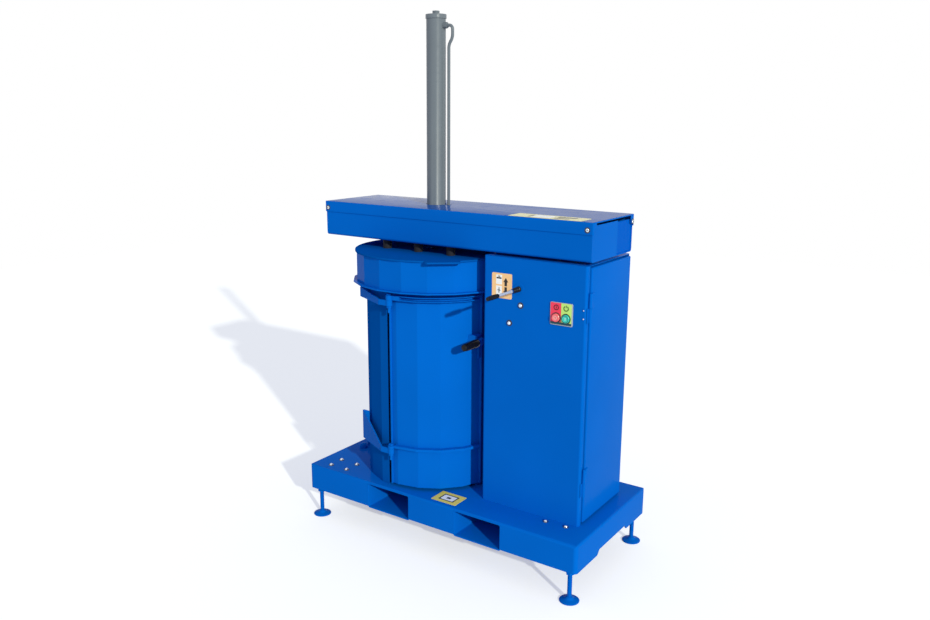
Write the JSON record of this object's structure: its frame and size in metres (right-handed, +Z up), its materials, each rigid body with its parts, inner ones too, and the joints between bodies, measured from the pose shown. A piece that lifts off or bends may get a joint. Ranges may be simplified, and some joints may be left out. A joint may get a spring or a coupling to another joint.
{
  "type": "bag compactor",
  "caption": "Hydraulic bag compactor: a press cylinder on a beam over a round chamber with a hinged front door, beside a power cabinet, on a base with fork pockets and levelling feet.",
  "frame": {"origin": "centre of the overall footprint, on the floor", "axes": "+Z up, front with the controls towards -Y, cabinet towards +X"},
  "size_m": [1.184, 0.6728, 1.929],
  "materials": {
    "blue_paint": "gloss enamel",
    "grey_paint": "satin enamel",
    "zinc_steel": "zinc plated",
    "rod_steel": "ground and chromed",
    "black_plastic": "moulded",
    "grey_plastic": "moulded",
    "lever_black": "blackened",
    "line_rubber": "matt",
    "red_plastic": "moulded",
    "green_plastic": "moulded"
  },
  "bodies": {
    "frame": {"base_tray": "blue_paint", "fork_pocket_left": "blue_paint", "fork_pocket_right": "blue_paint", "foot_plates": "blue_paint", "foot_nuts": "blue_paint", "base_bolts": "zinc_steel", "cabinet_shell": "blue_paint", "cabinet_top": "blue_paint", "hinge_pins": "blue_paint", "panel_screws": "zinc_steel", "column": "blue_paint", "frame_bolts": "zinc_steel", "beam_tray": "blue_paint", "beam_cover": "blue_paint", "cover_screws": "zinc_steel", "collar_top": "blue_paint", "collar_skirt": "blue_paint", "collar_flange": "blue_paint", "collar_spacers": "blue_paint", "collar_bolts": "zinc_steel", "cylinder_seat": "grey_paint", "cylinder_tube": "grey_paint", "cylinder_cap": "grey_paint", "rod_gland": "zinc_steel", "cylinder_bolts": "zinc_steel", "riser_pipe": "grey_paint", "pipe_fitting": "grey_paint", "rear_shell": "blue_paint", "hinge_arm_upper": "blue_paint", "hinge_arm_lower": "blue_paint", "hinge_bolts": "blue_paint", "latch_keeper": "blue_paint", "control_valve": "grey_paint", "switch_housing": "grey_plastic", "oil_tank": "grey_paint", "tank_lid": "grey_paint", "pump_motor": "grey_paint", "gear_pump": "zinc_steel", "oil_lines": "line_rubber", "spring_anchor": "blue_paint", "cable_gland": "black_plastic"},
    "drum_door": {"drum_door": "blue_paint", "hoop_upper": "blue_paint", "hoop_lower": "blue_paint", "latch_bracket": "blue_paint"},
    "latch": {"latch_lever": "blue_paint", "latch_grip": "black_plastic"},
    "control_lever": {"control_lever": "lever_black", "lever_grip": "black_plastic"},
    "press": {"piston_rod": "rod_steel", "piston": "zinc_steel", "press_plate": "blue_paint"},
    "stop_button": {"stop_button": "red_plastic"},
    "start_button": {"start_button": "green_plastic"},
    "cabinet_door": {"cabinet_door": "blue_paint", "hinge_leaves": "blue_paint"},
    "foot_front_left": {"foot_front_left": "blue_paint"},
    "foot_front_right": {"foot_front_right": "blue_paint"},
    "foot_rear_left": {"foot_rear_left": "blue_paint"},
    "foot_rear_right": {"foot_rear_right": "blue_paint"}
  },
  "joints": [
    {"name": "drum_door_hinge", "type": "hinge", "parent": "frame", "child": "drum_door", "pos_m": [-0.179, -0.26089, 0.6], "axis": [0, 0, -1], "range_deg": [0, 110]},
    {"name": "latch_turn", "type": "hinge", "parent": "drum_door", "child": "latch", "pos_m": [0.088, -0.08389, 0.785], "axis": [1, 0, 0], "range_deg": [0, 90]},
    {"name": "control_lever_swing", "type": "hinge", "parent": "frame", "child": "control_lever", "pos_m": [0.281, -0.13989, 1.006], "axis": [1, 0, 0], "range_deg": [-18, 18], "stiffness_Nm_per_rad": 20},
    {"name": "press_slide", "type": "slide", "parent": "frame", "child": "press", "axis": [0, 0, -1], "range_m": [0, 0.64]},
    {"name": "stop_button_push", "type": "slide", "parent": "frame", "child": "stop_button", "axis": [0, 1, 0], "range_m": [0, 0.004], "stiffness_N_per_m": 600},
    {"name": "start_button_push", "type": "slide", "parent": "frame", "child": "start_button", "axis": [0, 1, 0], "range_m": [0, 0.004], "stiffness_N_per_m": 600},
    {"name": "cabinet_door_hinge", "type": "hinge", "parent": "frame", "child": "cabinet_door", "pos_m": [0.5375, -0.12289, 0.66], "axis": [0, 0, -1], "range_deg": [0, 110]},
    {"name": "foot_front_left_level", "type": "slide", "parent": "frame", "child": "foot_front_left", "axis": [0, 0, 1], "range_m": [-0.045, 0.035]},
    {"name": "foot_front_right_level", "type": "slide", "parent": "frame", "child": "foot_front_right", "axis": [0, 0, 1], "range_m": [-0.045, 0.035]},
    {"name": "foot_rear_left_level", "type": "slide", "parent": "frame", "child": "foot_rear_left", "axis": [0, 0, 1], "range_m": [-0.045, 0.035]},
    {"name": "foot_rear_right_level", "type": "slide", "parent": "frame", "child": "foot_rear_right", "axis": [0, 0, 1], "range_m": [-0.045, 0.035]}
  ]
}
